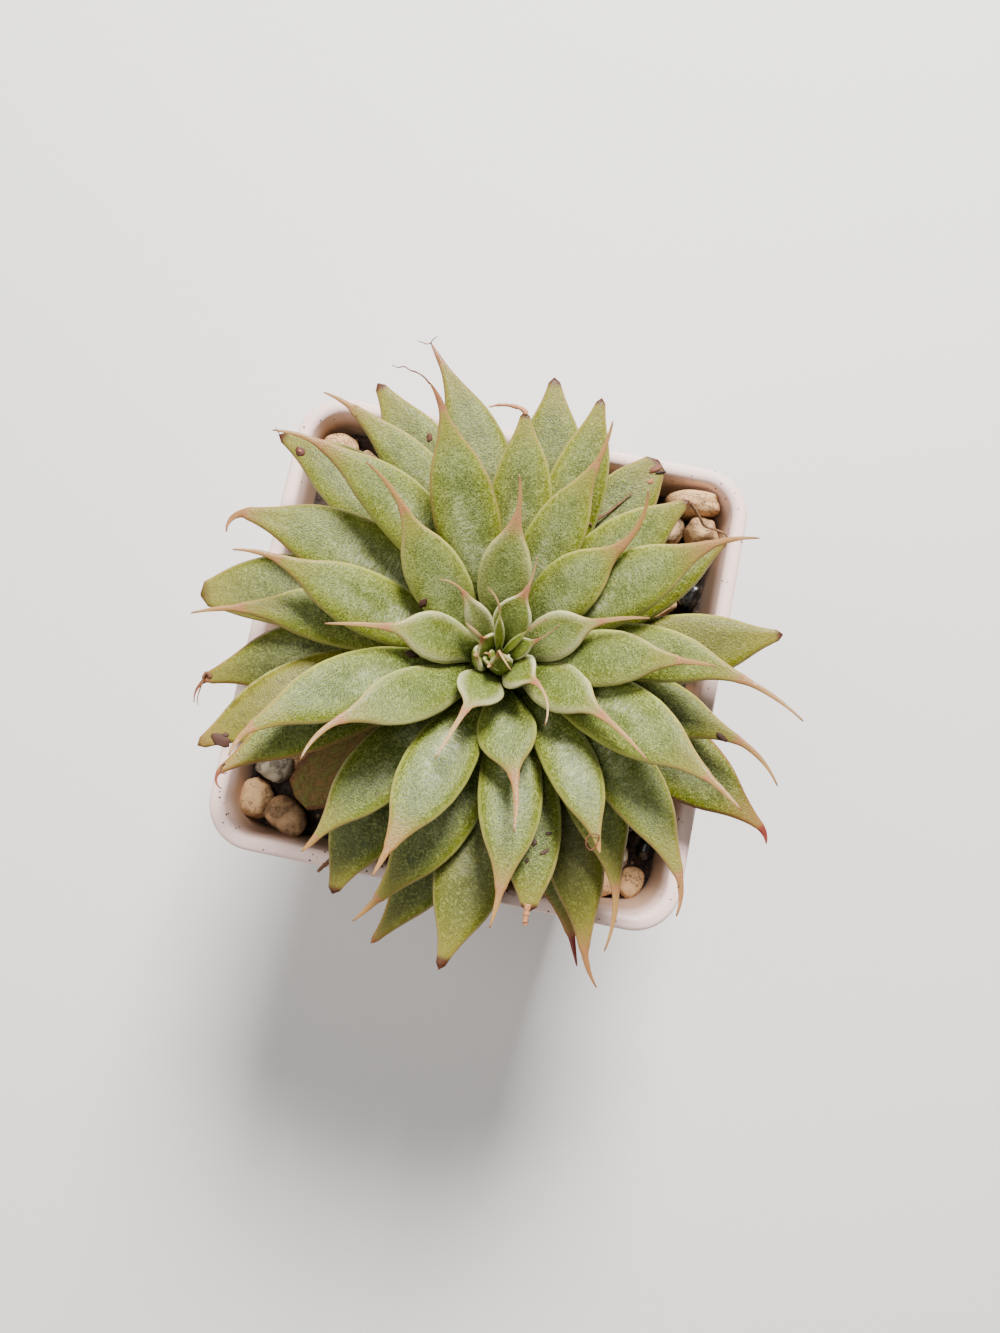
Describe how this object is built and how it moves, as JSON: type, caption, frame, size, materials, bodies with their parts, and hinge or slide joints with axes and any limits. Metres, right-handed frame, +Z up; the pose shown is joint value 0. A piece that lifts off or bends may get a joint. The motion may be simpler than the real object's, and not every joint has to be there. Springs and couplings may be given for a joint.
{
  "type": "potted silver star graptoveria",
  "caption": "Succulent rosette of keeled, pointed fleshy leaves with thin curling tails, in a square tapered plastic pot of soil dressed with small stones; stands on its base.",
  "frame": {"origin": "middle of the pot's underside, on the surface it stands on", "axes": "+Z up along the pot; X and Y along the pot's square sides; the picture looks down on it from a little towards -Y"},
  "size_m": [0.0835, 0.0869, 0.0998],
  "materials": {
    "pot_plastic": "smooth white moulded plastic, slightly pink, with specks of dirt",
    "soil": "dark brown crumbly potting soil",
    "tan_stone": "matt grainy tan and cream stones",
    "pale_stone": "matt grey-white stone with dark veins",
    "black_stone": "smooth black stone, half glossy",
    "leaf": "yellow-green leaf flesh with a silvery bloom, pale margins and pink tails"
  },
  "bodies": {
    "root": {"pot": "pot_plastic", "potting_soil": "soil", "gravel": "tan_stone", "pale_stone_1": "pale_stone", "pale_stone_2": "pale_stone", "black_stone_1": "black_stone", "black_stone_2": "black_stone", "black_stone_3": "black_stone", "black_stone_4": "black_stone", "rosette": "leaf"}
  },
  "joints": []
}
